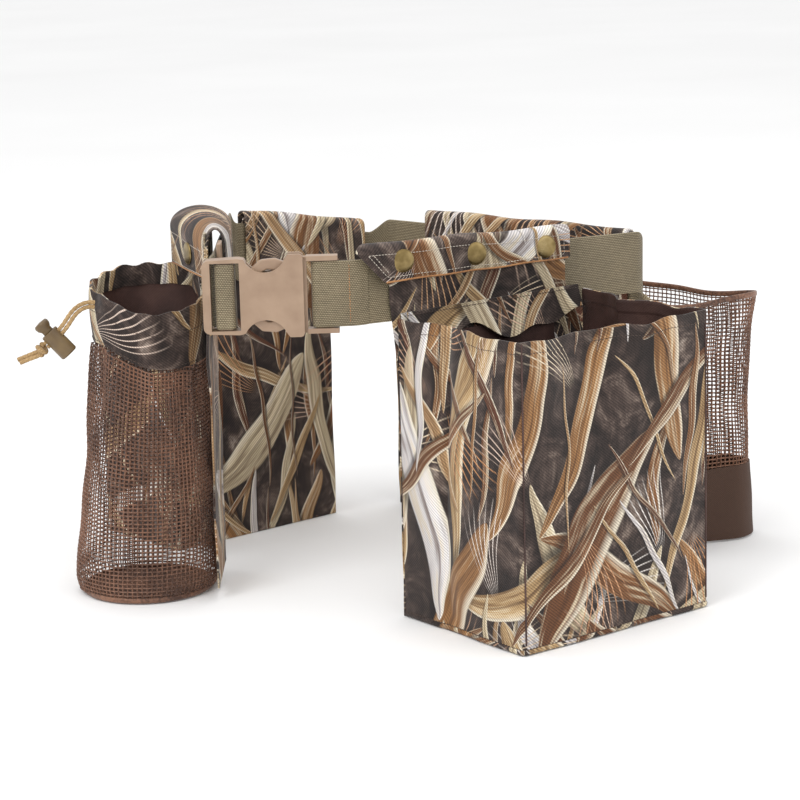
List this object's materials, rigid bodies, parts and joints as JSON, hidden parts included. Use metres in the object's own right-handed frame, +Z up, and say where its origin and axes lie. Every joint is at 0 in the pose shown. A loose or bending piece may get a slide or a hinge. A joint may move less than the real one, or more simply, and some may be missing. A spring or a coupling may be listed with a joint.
{
  "type": "hunting pouch belt",
  "caption": "Waist belt of two-inch webbing with a side-release buckle, snap-fastened camouflage box pouches, a net game bag and a drawstring net bottle pouch.",
  "frame": {"origin": "middle of the footprint of belt and pouches, on the plane that the pouches stand on, measured without the drawstring and its cord lock", "axes": "+Z up; the buckle faces -Y; +X towards the wearer's side that carries the plug half of the buckle"},
  "size_m": [0.5831, 0.5328, 0.3117],
  "materials": {
    "camo_fabric": "reed-patterned polyester twill, brown coated back",
    "webbing": "olive khaki webbing, coarse plain weave",
    "net": "brown knitted net",
    "lining": "dark brown coated lining",
    "buckle_plastic": "tan moulded acetal, fine matt texture",
    "antique_brass": "antique brass snap, lightly worn",
    "cord": "tan braided cord",
    "cord_lock_plastic": "brown moulded plastic"
  },
  "bodies": {
    "belt": {"belt_front_run": "webbing", "belt_right_turn": "webbing", "belt_rear_right_run": "webbing", "belt_rear_left_run": "webbing", "belt_left_run": "webbing", "belt_plug_loop": "webbing", "belt_buckle_lead": "webbing", "buckle_plug": "buckle_plastic"},
    "buckle_half": {"buckle_body": "buckle_plastic", "belt_adjuster_wrap": "webbing"},
    "upper_prong": {"buckle_prong_upper": "buckle_plastic"},
    "lower_prong": {"buckle_prong_lower": "buckle_plastic"},
    "keeper": {"webbing_keeper": "buckle_plastic"},
    "front_pouch": {"front_pouch_back_panel": "camo_fabric", "front_pouch_base": "camo_fabric", "front_pouch_belt_loop": "camo_fabric", "front_pouch_front_panel": "camo_fabric", "front_pouch_inner_pocket": "lining", "front_pouch_left_gusset": "camo_fabric", "front_pouch_right_gusset": "camo_fabric", "front_pouch_snap_stud_1": "antique_brass", "front_pouch_snap_stud_2": "antique_brass", "front_pouch_snap_stud_3": "antique_brass"},
    "front_pouch_flap_body": {"front_pouch_flap": "camo_fabric", "front_pouch_snap_cap_1": "antique_brass", "front_pouch_snap_cap_2": "antique_brass", "front_pouch_snap_cap_3": "antique_brass"},
    "rear_pouch": {"rear_pouch_back_panel": "camo_fabric", "rear_pouch_base": "camo_fabric", "rear_pouch_belt_loop": "camo_fabric", "rear_pouch_front_panel": "camo_fabric", "rear_pouch_left_gusset": "camo_fabric", "rear_pouch_right_gusset": "camo_fabric", "rear_pouch_snap_stud_1": "antique_brass", "rear_pouch_snap_stud_2": "antique_brass"},
    "rear_pouch_flap_body": {"rear_pouch_flap": "camo_fabric", "rear_pouch_snap_cap_1": "antique_brass", "rear_pouch_snap_cap_2": "antique_brass"},
    "game_bag": {"game_bag_back_panel": "camo_fabric", "game_bag_base": "net", "game_bag_belt_loop": "camo_fabric", "game_bag_net": "net", "game_bag_snap_stud_1": "antique_brass", "game_bag_snap_stud_2": "antique_brass"},
    "game_bag_flap_body": {"game_bag_flap": "camo_fabric", "game_bag_snap_cap_1": "antique_brass", "game_bag_snap_cap_2": "antique_brass"},
    "bottle_pouch": {"bottle_pouch_back_panel": "camo_fabric", "bottle_pouch_base": "net", "bottle_pouch_belt_loop": "camo_fabric", "bottle_pouch_collar": "camo_fabric", "bottle_pouch_net": "net", "bottle_pouch_snap_stud": "antique_brass", "drawstring_lower_strand": "cord", "drawstring_upper_strand": "cord", "drawstring_knot": "cord"},
    "bottle_pouch_flap_body": {"bottle_pouch_flap": "camo_fabric", "bottle_pouch_snap_cap": "antique_brass"},
    "cord_lock": {"cord_lock_barrel": "cord_lock_plastic"},
    "cord_lock_button_body": {"cord_lock_button": "cord_lock_plastic"}
  },
  "joints": [
    {"name": "buckle_release", "type": "slide", "parent": "belt", "child": "buckle_half", "axis": [-1, 0, 0], "range_m": [0, 0.034], "deforming": ["belt_buckle_lead"]},
    {"name": "upper_prong_squeeze", "type": "hinge", "parent": "belt", "child": "upper_prong", "pos_m": [-0.08793, -0.16816, 0.2792], "axis": [0, -1, 0], "range_deg": [0, 8], "stiffness_Nm_per_rad": 0.5},
    {"name": "lower_prong_squeeze", "type": "hinge", "parent": "belt", "child": "lower_prong", "pos_m": [-0.08793, -0.16816, 0.2372], "axis": [0, 1, 0], "range_deg": [0, 8], "stiffness_Nm_per_rad": 0.5},
    {"name": "keeper_slide", "type": "slide", "parent": "belt", "child": "keeper", "axis": [0, -1, 0], "range_m": [0, 0.008]},
    {"name": "front_pouch_slide", "type": "slide", "parent": "belt", "child": "front_pouch", "axis": [0.7895, 0.6124, -0.04], "range_m": [0, 0.04]},
    {"name": "front_pouch_flap_open", "type": "hinge", "parent": "front_pouch", "child": "front_pouch_flap_body", "pos_m": [0.05093, -0.11166, 0.286], "axis": [-0.7895, -0.6124, 0.04], "range_deg": [0, 95]},
    {"name": "rear_pouch_slide", "type": "slide", "parent": "belt", "child": "rear_pouch", "axis": [-0.744, -0.6468, 0.1676], "range_m": [-0.006, 0.006]},
    {"name": "rear_pouch_flap_open", "type": "hinge", "parent": "rear_pouch", "child": "rear_pouch_flap_body", "pos_m": [-0.09412, 0.15501, 0.268], "axis": [0.744, 0.6468, -0.1676], "range_deg": [0, 120]},
    {"name": "game_bag_slide", "type": "slide", "parent": "belt", "child": "game_bag", "axis": [-0.7536, 0.6574, 0], "range_m": [0, 0.03]},
    {"name": "game_bag_flap_open", "type": "hinge", "parent": "game_bag", "child": "game_bag_flap_body", "pos_m": [0.10493, 0.10432, 0.266], "axis": [0.7536, -0.6574, 0], "range_deg": [0, 120]},
    {"name": "bottle_pouch_slide", "type": "slide", "parent": "belt", "child": "bottle_pouch", "axis": [0, -1, 0], "range_m": [-0.03, 0.004]},
    {"name": "bottle_pouch_flap_open", "type": "hinge", "parent": "bottle_pouch", "child": "bottle_pouch_flap_body", "pos_m": [-0.17408, -0.05196, 0.2955], "axis": [0, 1, 0], "range_deg": [0, 120]},
    {"name": "cord_lock_slide", "type": "slide", "parent": "bottle_pouch", "child": "cord_lock", "axis": [0.7459, 0, 0.666], "range_m": [0, 0.004]},
    {"name": "cord_lock_press", "type": "slide", "parent": "cord_lock", "child": "cord_lock_button_body", "axis": [0.666, 0, -0.7459], "range_m": [0, 0.002], "stiffness_N_per_m": 300}
  ],
  "couplings": [
    {"joint": "lower_prong_squeeze", "follows": "upper_prong_squeeze", "ratio": 1}
  ]
}
